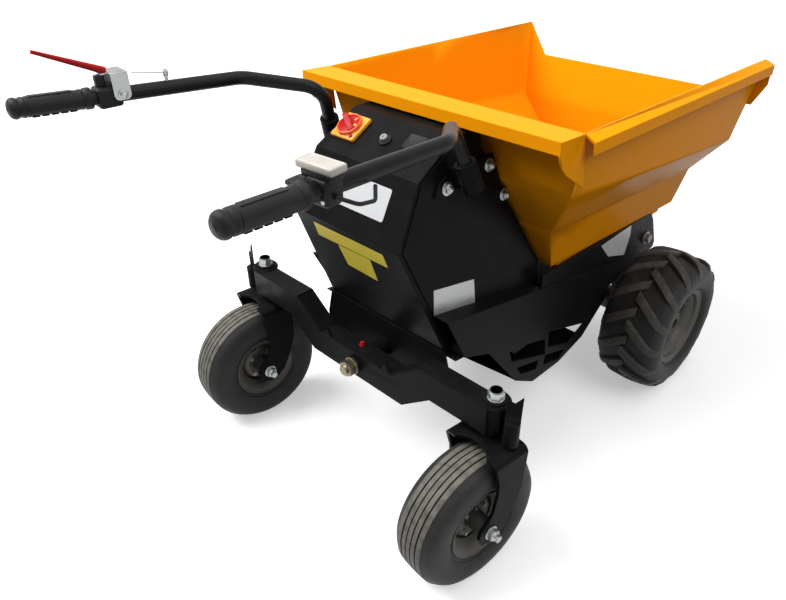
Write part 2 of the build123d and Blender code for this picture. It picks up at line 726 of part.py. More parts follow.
# --------------------------------------------------------------------- build
def build_wheels():
    """Wheels, forks and their axles."""
    at = Pos(DRIVE_X, DRIVE_Y, DRIVE_AXLE_Z)
    put_pair(at * drive_tyre(), "drive_tyre")
    put_pair(at * wheel_rim(DRIVE_RIM_W, DRIVE_BEAD_D, DRIVE_RIM_FLANGE, 30, DRIVE_HUB_D, 110,
                            DRIVE_SHAFT_D + 2 * RUN_FIT), "drive_rim")
    hub = Pos(0, -CASTER_TRAIL, CASTER_AXLE_Z)
    pieces = {
        "caster_tyre": hub * caster_tyre(),
        "caster_rim": hub * wheel_rim(CASTER_RIM_W, CASTER_BEAD_D, CASTER_RIM_FLANGE, 20,
                                      CASTER_HUB_D, CASTER_HUB_L,
                                      CASTER_AXLE_D + 2 * RUN_FIT),
        "caster_fork": caster_fork(),
        "caster_axle": caster_axle(),
        "stem_nut": stem_nut(),
    }
    for name, shape in pieces.items():
        put(caster_pose(shape, 1), f"{name}_right")
        put(caster_pose(shape, -1), f"{name}_left")


def build_chassis():
    """Beam, frame, housing and drive."""
    put(beam(), "beam")
    put(beam_pivot(), "beam_pivot")
    put_pair(swivel_lock(), "swivel_lock")
    put(rear_plate(), "rear_plate")
    put_pair(frame_rail(), "frame_rail")
    put_pair(skirt(), "skirt")
    put(pan_floor(), "pan_floor")
    put(body_shell(), "body_shell")
    put_pair(side_cover(), "side_cover")
    put(battery(), "battery")
    put(drive_axle(), "drive_axle")
    put(drive_motor(), "drive_motor")
    put(tip_pin(), "tip_pin")


def build_tub_and_controls():
    """Tub with its hinge arms, handles, levers and console."""
    put(hopper(), "hopper")
    put_pair(tub_arm(), "tub_arm")
    put_pair(handle_tube(), "handle")
    put_pair(grip(), "grip")
    put_pair(handle_bracket(), "handle_bracket")
    put(throttle_box(), "throttle_box")
    put(throttle_cable(), "throttle_cable")
    put(mirror(lever_perch(), Plane.YZ), "lever_perch")
    put(mirror(brake_lever(), Plane.YZ), "brake_lever")
    put(isolator_switch(), "isolator_switch")
    put(key_switch(), "key_switch")
    put(display_unit(), "display_unit")


build_wheels()
build_chassis()
build_tub_and_controls()
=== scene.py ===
"""Looks of the walk-behind mini dumper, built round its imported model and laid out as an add-on."""
import json
import math

import bmesh
import bpy
from mathutils import Matrix, Vector
from mathutils.bvhtree import BVHTree

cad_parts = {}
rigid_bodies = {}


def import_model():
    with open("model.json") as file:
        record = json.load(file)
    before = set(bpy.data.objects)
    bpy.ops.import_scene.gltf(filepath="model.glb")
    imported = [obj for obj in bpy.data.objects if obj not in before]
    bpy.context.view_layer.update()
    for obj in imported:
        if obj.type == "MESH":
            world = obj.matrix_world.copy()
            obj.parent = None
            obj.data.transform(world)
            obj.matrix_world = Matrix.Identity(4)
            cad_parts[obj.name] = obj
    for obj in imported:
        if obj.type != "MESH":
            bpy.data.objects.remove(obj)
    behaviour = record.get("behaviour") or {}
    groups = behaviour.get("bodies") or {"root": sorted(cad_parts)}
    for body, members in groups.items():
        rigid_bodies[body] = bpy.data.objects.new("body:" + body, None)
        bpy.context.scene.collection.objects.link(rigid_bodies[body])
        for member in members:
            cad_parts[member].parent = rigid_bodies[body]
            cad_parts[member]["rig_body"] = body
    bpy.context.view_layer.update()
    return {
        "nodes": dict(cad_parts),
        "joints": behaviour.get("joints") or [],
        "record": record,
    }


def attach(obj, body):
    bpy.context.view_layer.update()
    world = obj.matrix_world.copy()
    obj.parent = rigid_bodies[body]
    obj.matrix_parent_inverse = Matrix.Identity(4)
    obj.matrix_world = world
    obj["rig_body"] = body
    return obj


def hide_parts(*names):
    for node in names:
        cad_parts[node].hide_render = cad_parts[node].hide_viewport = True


bl_info = {
    "name": "Mini dumper",
    "version": (1, 0, 0),
    "blender": (4, 5, 0),
    "location": "3D View > Sidebar > Dumper",
    "description": "Dresses the mini dumper's solids with tyres, folded sheet, fixings and paint",
    "category": "Object",
}

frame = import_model()
NODES = frame["nodes"]
JOINTS = {joint["name"]: joint for joint in frame["joints"]}
SWIVEL_Y = JOINTS["swivel_right"]["pos_m"][1]
MM = 0.001
SIDES = (("right", 1), ("left", -1))

# Lengths in the lists and calls below are in mm, with y measured from the swivel axes.
# right handle: foot, lower bend, upper bend and end
HANDLE_LINE = ((206, 114, 798), (181, 72, 923), (285.5, -56.6, 952), (321.7, -500, 979.6))
# y and height of the sloping console's rear and front edges
CONSOLE_REAR, CONSOLE_FRONT = (19, 819), (128, 880)
CONTROL_TURN = 4.7  # degrees that the tubes splay at the controls
STILL = Matrix()


# --- places
def spot(x, y, z):
    """Point in metres from mm."""
    return Vector((x * MM, SWIVEL_Y + y * MM, z * MM))


def at(x, y, z):
    """Shift in mm."""
    return Matrix.Translation((x * MM, y * MM, z * MM))


def turn(degrees, axis):
    """Rotation about an axis."""
    return Matrix.Rotation(math.radians(degrees), 4, axis)


def mirrored(side):
    """Mirror across the middle for side -1, and nothing for side 1."""
    return Matrix.Scale(side, 4, (1, 0, 0))


def facing(origin, x, z):
    """Frame at an origin from two square directions, X and Z."""
    return Matrix.Translation(origin) @ Matrix((x, z.cross(x), z)).transposed().to_4x4()


def axle_frame(name, side=1):
    """Frame with X along a wheel joint, mirrored for side -1."""
    joint = JOINTS[name]
    axis = Vector(joint["axis"]).normalized()
    return facing(joint["pos_m"], axis, Vector((0, 0, 1))) @ mirrored(side)


def swivel_frame(side, height=0.0):
    """Frame on a caster's swivel axis, at a height."""
    x, y, _ = JOINTS[f"swivel_{side}"]["pos_m"]
    return Matrix.Translation((x, y, height * MM))


def run_frame(start, end):
    """Frame with Z from start towards end."""
    z = (end - start).normalized()
    return Matrix.Translation(start) @ z.to_track_quat("Z", "Y").to_matrix().to_4x4()


def plane_frame(origin, along, normal):
    """Frame with X along a direction and Z along a surface's normal."""
    z = normal.normalized()
    return facing(origin, (along - along.dot(z) * z).normalized(), z)


def run_plane(start, end):
    """Frame with X from start towards end and Z as upright as that allows."""
    x = (end - start).normalized()
    return facing(start, x, (Vector((0, 0, 1)) - x.z * x).normalized())


def console_frame(x, y):
    """Frame on the sloping console at a plan position."""
    (rear, low), (front, high) = CONSOLE_REAR, CONSOLE_FRONT
    slope = (high - low) / (front - rear)
    return plane_frame(spot(x, y, low + (y - rear) * slope), Vector((1, 0, 0)), Vector((0, -slope, 1)))


def control_frame(distance):
    """Frame of a control on the right tube, at a distance from its end."""
    bend, end = (Vector(point) for point in HANDLE_LINE[2:])
    place = end + (bend - end).normalized() * distance
    return Matrix.Translation(spot(*place)) @ turn(CONTROL_TURN, "Z")


def on_skin(node, point):
    """Nearest place on a solid and its outward direction."""
    solid = NODES[node]
    bm = bmesh.new()
    bm.from_mesh(solid.data)
    bmesh.ops.transform(bm, matrix=solid.matrix_world, verts=bm.verts)
    place, normal, _, _ = BVHTree.FromBMesh(bm).find_nearest(point)
    bm.free()
    return place, normal


# --- meshes
def shown(name, data):
    """New object in the scene, at the origin."""
    thing = bpy.data.objects.new(name, data)
    bpy.context.scene.collection.objects.link(thing)
    return thing


def meshed(name, bm):
    """Mesh of a bmesh, which is freed."""
    mesh = bpy.data.meshes.new(name)
    bm.to_mesh(mesh)
    bm.free()
    return mesh


def link_piece(name, shape, finish, body="chassis", node="", crease=32.0):
    """Turn a bmesh, or parts to join, into a piece that may stand for a solid."""
    mesh = meshed(name, joined(shape) if isinstance(shape, list) else shape)
    mesh.shade_smooth()
    mesh.set_sharp_from_angle(angle=math.radians(crease))
    mesh.materials.append(finished(finish))
    piece = shown(name, mesh)
    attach(piece, body)
    if node:
        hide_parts(node)
    return piece


def softened_copy(node, width, finish):
    """Merged copy of a solid with its clear edges rounded, standing for it."""
    doubles, flat, sharp, crease = 1e-5, 0.3, 30, 24.0
    room = width * 2.2  # an edge beside a shorter one stays sharp
    bm = bmesh.new()
    bm.from_mesh(NODES[node].data)
    bmesh.ops.remove_doubles(bm, verts=bm.verts, dist=doubles)
    if width:
        bmesh.ops.dissolve_limit(bm, angle_limit=math.radians(flat), verts=bm.verts, edges=bm.edges)
    weight = bm.edges.layers.float.new("bevel_weight_edge")
    for edge in bm.edges:
        if len(edge.link_faces) != 2 or edge.calc_face_angle(0) < math.radians(sharp):
            continue
        near = [e.calc_length() for v in edge.verts for e in v.link_edges]
        edge[weight] = 1.0 if min(near) > room else 0.0
    piece = link_piece(f"{node}.skin", bm, finish, NODES[node]["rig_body"], node, crease)
    if width:
        bevel = piece.modifiers.new("soft_edges", "BEVEL")
        bevel.limit_method = "WEIGHT"
        bevel.width = width
        bevel.segments = 2
        bevel.use_clamp_overlap = False
        bevel.harden_normals = True


def turned(points, steps=64, close=True):
    """Spin (x, radius) points about the X axis."""
    bm = bmesh.new()
    verts = [bm.verts.new((x * MM, 0, r * MM)) for x, r in points]
    edges = [bm.edges.new(pair) for pair in zip(verts, verts[1:])]
    if close:
        edges.append(bm.edges.new((verts[-1], verts[0])))
    bmesh.ops.spin(bm, geom=verts + edges, cent=(0, 0, 0), axis=(1, 0, 0),
                   angle=math.tau, steps=steps, use_merge=True)
    bmesh.ops.remove_doubles(bm, verts=bm.verts, dist=2e-5)
    bmesh.ops.recalc_face_normals(bm, faces=bm.faces)
    return bm


def other_half(points):
    """The (x, radius) points of a wheel's other side."""
    return [(-x, r) for x, r in reversed(points)]


def add_mesh(bm, other, matrix):
    """Append another bmesh, moved by a matrix, and free it."""
    bmesh.ops.transform(other, matrix=matrix, verts=other.verts)
    if matrix.determinant() < 0:
        bmesh.ops.reverse_faces(other, faces=other.faces)
    mesh = meshed("part", other)
    bm.from_mesh(mesh)
    bpy.data.meshes.remove(mesh)


def joined(parts):
    """One bmesh of parts, which are (bmesh, matrix) pairs."""
    bm = bmesh.new()
    for part, matrix in parts:
        add_mesh(bm, part, matrix)
    return bm


def bevelled(bm, edges, width, segments=2):
    """Round some edges by a width."""
    bmesh.ops.bevel(bm, geom=edges, offset=width * MM, segments=segments, profile=0.5,
                    affect="EDGES", material=-1, clamp_overlap=True)


def round_edges(bm, width, segments=2, angle=30.0):
    """Bevel every edge sharper than an angle."""
    bevelled(bm, [e for e in bm.edges if len(e.link_faces) == 2
                  and e.calc_face_angle(0) > math.radians(angle)], width, segments)


def round_top(bm, height, width):
    """Bevel the edges that lie above a height."""
    bevelled(bm, [e for e in bm.edges if min(v.co.z for v in e.verts) > height * MM], width)


def drum(radius, low, high, steps=24, round_off=0.0, top_radius=None):
    """Bar about Z between two heights."""
    bm = bmesh.new()
    top = radius if top_radius is None else top_radius
    bmesh.ops.create_cone(bm, cap_ends=True, segments=steps, radius1=radius * MM,
                          radius2=top * MM, depth=(high - low) * MM)
    bmesh.ops.translate(bm, vec=(0, 0, (low + high) / 2 * MM), verts=bm.verts)
    if round_off:
        round_edges(bm, round_off, 2, 45.0)
    return bm


def bars(where, *rows):
    """Bars about the Z axis of one matrix, as parts to join."""
    return [(drum(*row), where) for row in rows]


def slab(x, y, z, round_off=0.0, segments=2):
    """Box about the origin with its edges rounded."""
    bm = bmesh.new()
    bmesh.ops.create_cube(bm, size=1.0)
    bmesh.ops.scale(bm, vec=(x * MM, y * MM, z * MM), verts=bm.verts)
    if round_off:
        round_edges(bm, round_off, segments)
    return bm


def boxes(where, *rows):
    """Boxes at shifts from one matrix, as parts to join."""
    return [(slab(*sizes), where @ at(*place)) for sizes, place in rows]


def sunk_top(bm, rim, depth):
    """Lower the top face inside a rim."""
    top = max(bm.faces, key=lambda face: face.calc_center_median().z)
    bmesh.ops.inset_region(bm, faces=[top], thickness=rim * MM, depth=0.0)
    bmesh.ops.translate(bm, vec=(0, 0, -depth * MM), verts=top.verts)
    return bm


def outlined(corners, shift):
    """Plate with corners given in metres, pulled out along a vector."""
    bm = bmesh.new()
    face = bm.faces.new([bm.verts.new(corner) for corner in corners])
    grown = bmesh.ops.extrude_face_region(bm, geom=[face])
    far = [v for v in grown["geom"] if isinstance(v, bmesh.types.BMVert)]
    bmesh.ops.translate(bm, vec=shift, verts=far)
    bmesh.ops.recalc_face_normals(bm, faces=bm.faces)
    return bm


def card(points, thick):
    """Sheet cut to (x, y) points, thick upwards from z = 0."""
    return outlined([(x * MM, y * MM, 0) for x, y in points], (0, 0, thick * MM))


def threads(radius, low, high):
    """Threaded end about Z between two heights."""
    pitch, cut = 1.5, 0.5
    points = [(low, 0)]
    rings = max(2, int((high - low) / pitch))
    for n in range(rings):
        h = low + (high - low) * n / rings
        points += [(h, radius - cut), (h + (high - low) / rings * 0.5, radius)]
    points += [(high - 0.4, radius - 0.6), (high, radius - 1.6), (high, 0)]
    bm = turned(points, 20, False)
    bmesh.ops.rotate(bm, matrix=Matrix.Rotation(-math.pi / 2, 3, "Y"), verts=bm.verts)
    return bm


def hex_bolt(across, height, washer, stud=0.0):
    """Washer, hexagon and an optional stud end, upwards from z = 0."""
    thick, sunk, round_off, thread = 1.8, 0.2, across * 0.07, across * 0.32
    head = drum(across / math.sqrt(3), thick - sunk, thick + height, 6)
    round_top(head, height, round_off)
    parts = bars(STILL, (washer, 0, thick, 28, 0.4)) + [(head, STILL)]
    if stud:
        parts.append((threads(thread, height, thick + height + stud), STILL))
    return joined(parts)


def weld(path, radius):
    """Row of overlapping ripples along points given in metres."""
    spacing = 0.95  # of the radius
    bm = bmesh.new()
    for start, end in zip(path, path[1:]):
        run = end - start
        count = max(1, round(run.length / (radius * MM * spacing)))
        for n in range(count):
            place = Matrix.Translation(start + run * (n / count))
            bmesh.ops.create_uvsphere(bm, u_segments=8, v_segments=5, radius=radius * MM, matrix=place)
    return bm


def ring_weld(where, ring_radius, radius):
    """Weld bead round the Z axis of a matrix."""
    sides = 36
    start = Vector((ring_radius * MM, 0, 0))
    return weld([where @ turn(360.0 * n / sides, "Z") @ start for n in range(sides + 1)], radius)


def sticker(node, corners, thick, round_off):
    """Film lying on a solid, with rounded corners."""
    sunk = 0.0002
    places = [on_skin(node, corner) for corner in corners]
    normal = sum((n for _, n in places), Vector()).normalized()
    bm = outlined([place - normal * sunk for place, _ in places], normal * (thick + sunk))
    upright = [e for e in bm.edges
               if abs((e.verts[0].co - e.verts[1].co).normalized().dot(normal)) > 0.9]
    bevelled(bm, upright, round_off, 4)
    return bm


# --- shading
def add_node(tree, kind, links=(), **values):
    """New shader node with properties set and its inputs linked or filled."""
    node = tree.nodes.new(f"ShaderNode{kind}")
    for key, value in values.items():
        setattr(node, key, value)
    for key, value in dict(links).items():
        if isinstance(value, bpy.types.NodeSocket):
            tree.links.new(value, node.inputs[key])
        else:
            node.inputs[key].default_value = value
    return node


def noise(tree, scale, detail, rough=0.5):
    """Noise on the object's own coordinates."""
    where = add_node(tree, "TexCoord")
    return add_node(tree, "TexNoise", {"Vector": where.outputs["Object"], "Scale": scale,
                                       "Detail": detail, "Roughness": rough}).outputs["Fac"]


def ranged(tree, value, low, high, start=0.0, end=1.0, **values):
    """Value taken from one range to another."""
    return add_node(tree, "MapRange", {0: value, 1: low, 2: high, 3: start, 4: end},
                    **values).outputs[0]


def maths(tree, operation, first, second, **values):
    """Result of a named operation on two values."""
    return add_node(tree, "Math", {0: first, 1: second}, operation=operation, **values).outputs[0]


def between(tree, share, first, second):
    """Colour between two colours."""
    return add_node(tree, "Mix", {0: share, 6: first, 7: second}, data_type="RGBA").outputs[2]


def edge_wear(tree, given):
    """Mask of rubbed edges, broken up by noise."""
    near = add_node(tree, "Bevel", {"Radius": given["Reach"]}, samples=4)
    flat = add_node(tree, "NewGeometry")
    dot = add_node(tree, "VectorMath", {0: near.outputs[0], 1: flat.outputs["Normal"]},
                   operation="DOT_PRODUCT")
    edge = ranged(tree, dot.outputs["Value"], 0.995, 0.86)
    broken = ranged(tree, noise(tree, given["Scale"], 4.0), 0.48, 0.66)
    rubbed = maths(tree, "MULTIPLY", edge, broken)
    return [maths(tree, "MULTIPLY", rubbed, given["Amount"], use_clamp=True)]


def settled_dust(tree, given):
    """Mask of dust lying on upward faces, in soft patches; on the black paint it also paints the upward
    faces lighter, a painted reflection of the sky.
    """
    flat = add_node(tree, "NewGeometry")
    split = add_node(tree, "SeparateXYZ", {0: flat.outputs["Normal"]})
    up = ranged(tree, split.outputs["Z"], 0.1, 0.95, given["Everywhere"])
    patch = ranged(tree, noise(tree, given["Scale"], 6.0, 0.62), 0.38, 0.68)
    lying = maths(tree, "MULTIPLY", up, patch)
    return [maths(tree, "MULTIPLY", lying, given["Amount"], use_clamp=True)]


def skin_relief(tree, given):
    """Fine surface relief and a slow mottling, for paint, rubber and castings."""
    return [noise(tree, given["Grain Scale"], 2.0), noise(tree, given["Mottle Scale"], 5.0, 0.6)]


# each shared effect: its inputs and their usual values, its outputs, and what wires it
EFFECTS = {
    "edge_wear": ({"Reach": 0.002, "Scale": 60.0, "Amount": 0.5}, ("Wear",), edge_wear),
    "settled_dust": ({"Scale": 20.0, "Amount": 0.3, "Everywhere": 0.2}, ("Dust",),
                     settled_dust),
    "skin_relief": ({"Grain Scale": 800.0, "Mottle Scale": 30.0}, ("Height", "Mottle"),
                    skin_relief),
}


def effect(tree, name, values):
    """Outputs of a shared effect's group, which is made on its first use."""
    group = bpy.data.node_groups.get(name)
    if not group:
        inputs, outputs, wire = EFFECTS[name]
        group = bpy.data.node_groups.new(name, "ShaderNodeTree")
        for label, value in inputs.items():
            socket = group.interface.new_socket(label, in_out="INPUT", socket_type="NodeSocketFloat")
            socket.default_value = value
        for label in outputs:
            group.interface.new_socket(label, in_out="OUTPUT", socket_type="NodeSocketFloat")
        given = group.nodes.new("NodeGroupInput").outputs
        end = group.nodes.new("NodeGroupOutput").inputs
        for label, result in zip(outputs, wire(group, given)):
            group.links.new(result, end[label])
    return add_node(tree, "Group", values, node_tree=group).outputs


# settings of wear and dust at which the finishes below are stated
USUAL_WEAR, USUAL_DUST = 0.5, 0.55
RUBBED_PAINT, RUBBED_PLASTIC = (0.11, 0.11, 0.115), (0.05, 0.05, 0.05)


def look(colour, worn, rough, wear=0.4, dust=0.2, **rest):
    """Colour, rubbed colour, roughness, wear, dust and whatever else isn't usual."""
    usual = dict(dirt=(0.13, 0.115, 0.09), reach=0.0015, dust_scale=22.0, everywhere=0.2,
                 grain=800.0, relief=0.08, mottle=30.0, shade=0.12, metal=0.0, gloss=0.5,
                 soft=0.0008)
    return {**usual, **rest, "colour": colour, "worn": worn, "rough": rough, "wear": wear, "dust": dust}


# soft is the radius, in metres, by which a finish's edges shade round
FINISHES = {
    # satin powder coat of the frame and housing, and the smoother steering tubes; their faint dust on
    # upward faces is partly real dust and partly a painted lighter top that stands for reflected sky
    "black_paint": look("chassis_colour", RUBBED_PAINT, 0.36, 0.25, 0.0385, everywhere=0.02,
        relief=0.12, grain=900.0, gloss=0.032, soft=0.002),
    "tube_paint": look("chassis_colour", RUBBED_PAINT, 0.33, 0.15, 0.0165, slot="black_paint",
        everywhere=0.0, grain=900.0, gloss=0.11),
    "orange_paint": look("tub_colour", (0.55, 0.3, 0.12), 0.3, 0.2, 0.044, shade=0.04, relief=0.05,
        mottle=9.0, gloss=0.008, soft=0.0022),
    # rubber that is grey with dust where it meets the ground
    "tyre": look((0.0075, 0.0075, 0.008), (0.05, 0.046, 0.04), 0.55, 0.3, 0.44,
        dirt=(0.05, 0.046, 0.037), reach=0.003, dust_scale=26.0, everywhere=0.5, relief=0.3,
        grain=420.0, shade=0.35, gloss=0.24),
    "rim_paint": look((0.1, 0.095, 0.085), (0.26, 0.25, 0.22), 0.45, 0.5, 0.44, dirt=(0.13, 0.12, 0.1),
        metal=0.3, everywhere=0.5, relief=0.15, shade=0.3, gloss=0.1),
    # bolts and brackets: bright zinc, steel under road dust, and yellow-passivated steel
    "zinc": look((0.34, 0.36, 0.36), (0.55, 0.56, 0.56), 0.36, 0.3, 0.12, metal=1.0, relief=0.12,
        grain=600.0, shade=0.2, mottle=90.0),
    "dull_steel": look((0.22, 0.21, 0.19), (0.5, 0.49, 0.46), 0.5, 0.5, 0.5, slot="zinc", metal=0.8,
        everywhere=0.4, relief=0.2, grain=500.0, shade=0.25),
    "brass": look((0.21, 0.18, 0.125), (0.7, 0.62, 0.45), 0.38, slot="zinc", metal=1.0, relief=0.12,
        grain=600.0, shade=0.2, mottle=90.0),
    "cast_iron": look((0.028, 0.027, 0.026), (0.12, 0.11, 0.1), 0.6, 0.5, 0.3, metal=0.3, relief=0.5,
        grain=300.0, shade=0.3),
    "black_plastic": look((0.012, 0.012, 0.013), RUBBED_PLASTIC, 0.4, 0.3, 0.04, relief=0.25,
        grain=1400.0, gloss=0.12),
    "grip_rubber": look((0.013, 0.013, 0.014), RUBBED_PLASTIC, 0.38, 0.3, 0.03, relief=0.4,
        grain=1100.0, gloss=0.12),
    "grey_plastic": look((0.46, 0.43, 0.39), (0.7, 0.68, 0.64), 0.42, 0.3, relief=0.15, grain=1200.0,
        shade=0.06),
    # lever and isolator
    "red_coat": look((0.4, 0.007, 0.009), (0.6, 0.08, 0.07), 0.34, 0.2, 0.03, relief=0.1, shade=0.1,
        gloss=0.12),
    "orange_plastic": look((0.83, 0.13, 0.02), (0.9, 0.4, 0.2), 0.36, 0.2, 0.06, slot="red_coat",
        relief=0.1, shade=0.06),
    "yellow_plastic": look((0.88, 0.34, 0.012), (0.9, 0.5, 0.1), 0.34, 0.2, 0.08, relief=0.1,
        shade=0.05),
    # blank stickers and the blank data plate
    "yellow_film": look((0.93, 0.74, 0.025), (0.7, 0.6, 0.2), 0.38, 0.2, 0.14, slot="grey_plastic",
        grain=300.0, shade=0.05),
    "white_film": look((0.56, 0.57, 0.58), (0.8, 0.8, 0.8), 0.36, 0.2, 0.14, slot="grey_plastic",
        grain=300.0, shade=0.04),
    "silver_film": look((0.42, 0.43, 0.43), (0.7, 0.7, 0.7), 0.34, 0.2, 0.12, slot="grey_plastic",
        metal=0.6, relief=0.1, grain=500.0, shade=0.06),
}


def opaque(colour, scale=1.0):
    """Colour made lighter or darker, with full alpha."""
    return tuple(min(1.0, part * scale) for part in colour) + (1.0,)


def road_dust(tree, below):
    """Pale dust over a colour, as far as the stored tread mark goes."""
    tread = add_node(tree, "Attribute", attribute_name="tread")
    patch = ranged(tree, noise(tree, 60.0, 5.0), 0.3, 0.62, 0.45)
    share = maths(tree, "MULTIPLY", tread.outputs["Fac"], patch)
    return between(tree, share, below, (0.15, 0.14, 0.122, 1.0))


def finished(name):
    """Material of a finish: mottled colour, rubbed edges, dust (on the black paint also a painted
    lighter top that stands for reflected sky) and fine relief.
    """
    label = f"{name}_finish"
    if label in bpy.data.materials:
        return bpy.data.materials[label]
    paint = bpy.context.scene.dumper_finish
    has = FINISHES[name]
    colour, shade, rough = has["colour"], has["shade"], has["rough"]
    if isinstance(colour, str):
        colour = getattr(paint, colour)
    material = bpy.data.materials.new(label)
    material.use_nodes = True
    tree = material.node_tree
    shader = tree.nodes["Principled BSDF"].inputs
    shader["Metallic"].default_value = has["metal"]
    shader["Specular IOR Level"].default_value = has["gloss"]
    skin = effect(tree, "skin_relief", {"Grain Scale": has["grain"], "Mottle Scale": has["mottle"]})
    wear = effect(tree, "edge_wear", {"Reach": has["reach"],
                                      "Amount": has["wear"] * paint.wear / USUAL_WEAR})
    # the dust mask also paints the black paint's upward faces lighter, a painted reflection of the sky
    dust = effect(tree, "settled_dust", {"Scale": has["dust_scale"],
                                         "Amount": has["dust"] * paint.dust / USUAL_DUST,
                                         "Everywhere": has["everywhere"]})
    base = between(tree, skin["Mottle"], opaque(colour, 1.0 - shade), opaque(colour, 1.0 + shade))
    rubbed = between(tree, wear["Wear"], base, opaque(has["worn"]))
    surface = between(tree, dust["Dust"], rubbed, opaque(has["dirt"]))
    if name == "tyre":
        surface = road_dust(tree, surface)
    tree.links.new(surface, shader["Base Color"])
    spread, dusty_rough = 0.06, 0.85
    sheen = ranged(tree, skin["Mottle"], 0.3, 0.7, rough - spread, rough + spread)
    matt = add_node(tree, "Mix", {0: dust["Dust"], 2: sheen, 3: dusty_rough})
    tree.links.new(matt.outputs[0], shader["Roughness"])
    fold = add_node(tree, "Bevel", {"Radius": has["soft"]}, samples=4)
    bump = add_node(tree, "Bump", {"Height": skin["Height"], "Strength": has["relief"],
                                   "Distance": MM, "Normal": fold.outputs[0]})
    tree.links.new(bump.outputs[0], shader["Normal"])
    return material


# --- properties
class DumperFinishSettings(bpy.types.PropertyGroup):
    """Colours and ageing of the machine."""

    tub_colour: bpy.props.FloatVectorProperty(
        name="Tub", description="Paint of the tub and its hinge arms", subtype="COLOR",
        size=3, min=0.0, max=1.0, default=(0.92, 0.325, 0.003))
    chassis_colour: bpy.props.FloatVectorProperty(
        name="Chassis", description="Paint of the frame, housing and handles",
        subtype="COLOR", size=3, min=0.0, max=1.0, default=(0.0065, 0.0066, 0.007))
    wear: bpy.props.FloatProperty(
        name="Wear", description="How far the edges are rubbed", subtype="FACTOR",
        min=0.0, max=1.0, default=USUAL_WEAR)
    # dust also sets the black paint's painted lighter tops, which stand for reflected sky
    dust: bpy.props.FloatProperty(
        name="Dust", description="How much dust lies on tyres and upward faces",
        subtype="FACTOR", min=0.0, max=1.0, default=USUAL_DUST)


class DumperSheetSettings(bpy.types.PropertyGroup):
    """Edges of the sheet-metal work."""

    plate_edge: bpy.props.FloatProperty(
        name="Plate edge", description="Rounding of plate and housing edges",
        unit="LENGTH", min=0.0, default=0.0010)


class DumperWheelSettings(bpy.types.PropertyGroup):
    """Tread of the two tyre sizes."""

    groove_depth: bpy.props.FloatProperty(
        name="Groove depth", description="Depth of the caster tyres' grooves",
        unit="LENGTH", min=0.0, default=0.004)
    lug_round: bpy.props.FloatProperty(
        name="Lug rounding", description="Rounding of the drive tyres' lugs",
        unit="LENGTH", min=0.0, default=0.003)
    steps: bpy.props.IntProperty(
        name="Steps", description="Steps round a tyre", min=24, default=96)


class DumperFittingSettings(bpy.types.PropertyGroup):
    """Films and weld beads."""

    film: bpy.props.FloatProperty(
        name="Film", description="Thickness of the stickers", unit="LENGTH", min=0.0,
        default=0.0004)
    weld: bpy.props.FloatProperty(
        name="Weld bead", description="Radius of the weld beads", unit="LENGTH", min=0.0005,
        default=0.0024)


class DumperStageSettings(bpy.types.PropertyGroup):
    """Floor, lamps and camera."""

    sky: bpy.props.FloatProperty(
        name="Sky", description="Strength of the even light", min=0.0, default=0.22)
    key: bpy.props.FloatProperty(
        name="Key lamp", description="Power of the main soft lamp in watts", min=0.0,
        default=185.0)
    floor_shade: bpy.props.FloatProperty(
        name="Floor", description="Brightness of the floor in the light it gives back",
        subtype="FACTOR", min=0.0, max=1.0, default=0.18)
    lens: bpy.props.FloatProperty(
        name="Lens", description="Focal length of the camera in millimetres",
        min=10.0, default=31.396)


# --- operators
class DUMPER_OT_sheet_metal(bpy.types.Operator):
    """Round the edges of the folded and welded sheet pieces"""

    bl_idname = "dumper.sheet_metal"
    bl_label = "Sheet metal"

    def execute(self, context):
        edge = context.scene.dumper_sheet.plate_edge
        softened_copy("hopper", 0.0, "orange_paint")
        for side, _ in SIDES:
            softened_copy(f"tub_arm_{side}", edge, "orange_paint")
        for node in ("body_shell", "rear_plate", "beam", "pan_floor"):
            softened_copy(node, edge, "black_paint")
        for kind in ("side_cover", "skirt", "frame_rail", "handle_bracket", "caster_fork",
                     "swivel_lock"):
            for side, _ in SIDES:
                softened_copy(f"{kind}_{side}", edge, "black_paint")
        return {"FINISHED"}


def mark_tread(bm, where, base, low, high, share=1.0):
    """Store how far each point stands over a (x, radius) outline, as "tread"."""
    layer = bm.verts.layers.float.new("tread")
    inverse = where.inverted()
    for v in bm.verts:
        spoke = inverse @ v.co
        radius = math.hypot(spoke.y, spoke.z) / MM
        x = min(abs(spoke.x) / MM, base[-1][0] - 0.01)
        floor = next(r0 + (r1 - r0) * (x - x0) / (x1 - x0)
                     for (x0, r0), (x1, r1) in zip(base, base[1:]) if x <= x1)
        v[layer] = share * min(1.0, max(0.0, (radius - floor - low) / (high - low)))


class DUMPER_OT_caster_wheels(bpy.types.Operator):
    """Make the ribbed caster tyres"""

    bl_idname = "dumper.caster_wheels"
    bl_label = "Caster wheels"

    def execute(self, context):
        wheels = context.scene.dumper_wheels
        depth = wheels.groove_depth / MM
        right = [(0.5, 162.9), (0.7, 163)]
        for x, r, half in ((6.7, 162.9, 1.6), (20.6, 162.4, 2.0)):
            right += [(x - half, r), (x - half + 0.6, r - depth), (x + half - 0.6, r - depth),
                      (x + half, r - 0.1)]
        right += [(33.2, 161.2), (34.6, 160.4), (36, 158.6), (42.5, 155.6), (49, 150.6), (53.5, 143),
                  (56, 133), (57, 120), (55.6, 106), (52.6, 96), (51.4, 93.5), (49.6, 93),
                  (48.2, 90), (45.6, 84), (44.2, 84.2), (44, 76)]
        for side, _ in SIDES:
            where = axle_frame(f"caster_spin_{side}")
            tyre = joined([(turned(other_half(right[1:]) + right, wheels.steps), where)])
            mark_tread(tyre, where, ((0, 159), (33.6, 157.6), (34, 190), (58, 190)), 0.4, 2.6)
            link_piece(f"caster_tyre_{side}.tread", tyre, "tyre", f"caster_wheel_{side}",
                       f"caster_tyre_{side}", 28.0)
        return {"FINISHED"}


LUGS = 15  # on each side of a drive tyre
